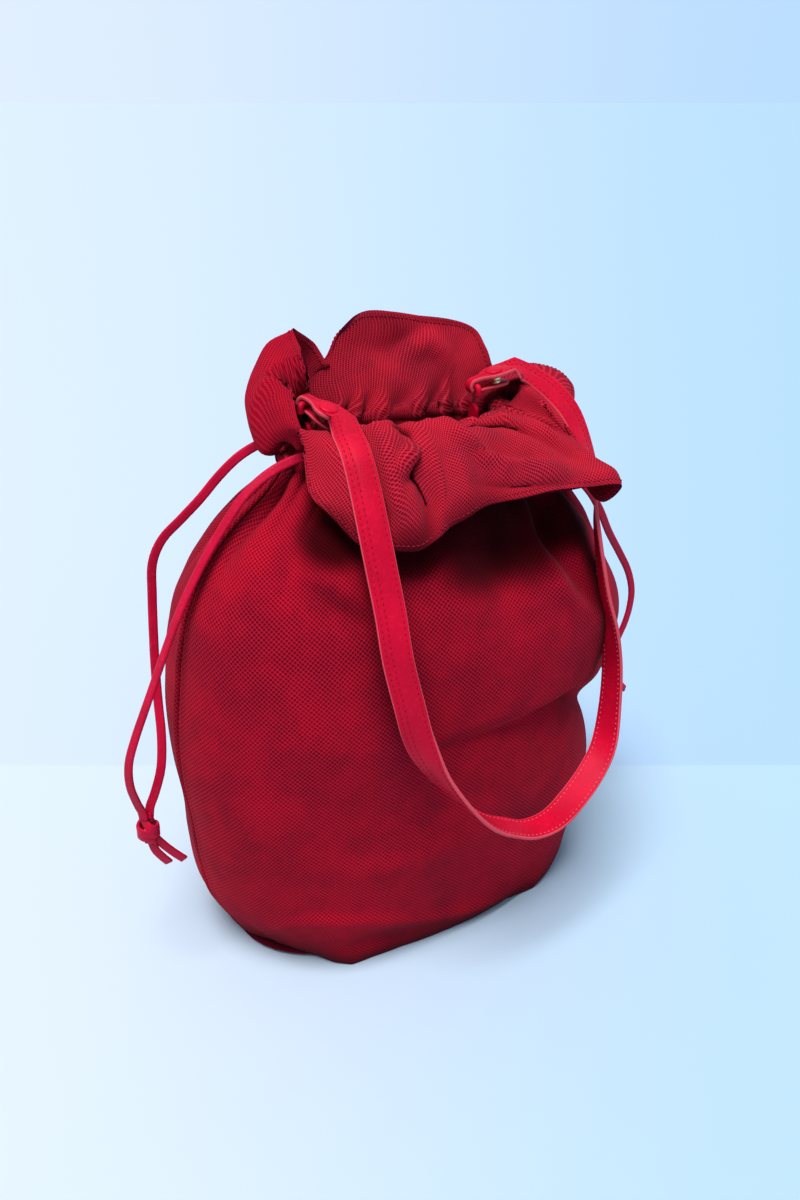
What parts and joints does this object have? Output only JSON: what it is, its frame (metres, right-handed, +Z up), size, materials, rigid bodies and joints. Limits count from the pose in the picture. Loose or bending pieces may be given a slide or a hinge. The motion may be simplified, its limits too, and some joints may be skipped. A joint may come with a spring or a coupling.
{
  "type": "drawstring bucket bag",
  "caption": "Soft suede drawstring bucket bag on a flat oval base, with a gathered flared collar, a press-studded leather shoulder strap and knotted leather drawcords.",
  "frame": {"origin": "centre of the flat oval base, on its underside, where the bag rests", "axes": "+Z up, X along the wide side of the bag, -Y towards its front, where the collar folds down and the strap hangs"},
  "size_m": [0.4287, 0.2305, 0.4302],
  "materials": {
    "suede": "soft napped suede, fine square grid of pin holes",
    "suede_facing": "soft napped suede, fine square grid, brighter",
    "leather": "smooth strap leather, semi-matt, dyed red",
    "cord_leather": "smooth folded lace leather, semi-matt, dyed red",
    "lining": "plain woven lining cloth",
    "board": "plain pressed bag board",
    "snap_metal": "polished press stud metal"
  },
  "bodies": {
    "bag": {"base_panel": "suede", "base_board": "board", "base_lining": "lining", "front_panel": "suede", "back_panel": "suede", "front_lining": "lining", "back_lining": "lining", "front_collar": "suede", "back_collar": "suede", "front_collar_facing": "suede_facing", "back_collar_facing": "suede_facing", "left_cord_run": "cord_leather", "left_anchor_root": "leather", "right_cord_run": "cord_leather", "right_anchor_root": "leather"},
    "strap": {"strap_outer": "leather", "strap_backing": "leather", "left_anchor_loop": "leather", "right_anchor_loop": "leather", "left_snap_cap": "leather", "left_snap_socket": "snap_metal", "right_snap_cap": "leather", "right_snap_socket": "snap_metal"},
    "left_tab": {"left_strap_tab": "leather", "left_snap_stud": "snap_metal"},
    "right_tab": {"right_strap_tab": "leather", "right_snap_stud": "snap_metal"},
    "left_cord": {"left_cord_front": "cord_leather", "left_cord_back": "cord_leather", "left_cord_knot": "cord_leather"},
    "right_cord": {"right_cord_front": "cord_leather", "right_cord_back": "cord_leather", "right_cord_knot": "cord_leather"}
  },
  "joints": [
    {"name": "strap_swing", "type": "hinge", "parent": "bag", "child": "strap", "pos_m": [-0.063, 0, 0.388], "axis": [-0.9991, 0, 0.0413], "range_deg": [0, 80]},
    {"name": "left_tab_open", "type": "hinge", "parent": "strap", "child": "left_tab", "pos_m": [-0.063, 0, 0.388], "axis": [0.866, 0.5, 0], "range_deg": [0, 20]},
    {"name": "right_tab_open", "type": "hinge", "parent": "strap", "child": "right_tab", "pos_m": [0.058, 0, 0.383], "axis": [0.0349, 0.9994, 0], "range_deg": [0, 20]},
    {"name": "left_cord_swing", "type": "hinge", "parent": "bag", "child": "left_cord", "pos_m": [-0.069, 0, 0.36], "axis": [0, 1, 0], "range_deg": [0, 30]},
    {"name": "right_cord_swing", "type": "hinge", "parent": "bag", "child": "right_cord", "pos_m": [0.069, 0, 0.353], "axis": [0, -1, 0], "range_deg": [0, 20]}
  ]
}
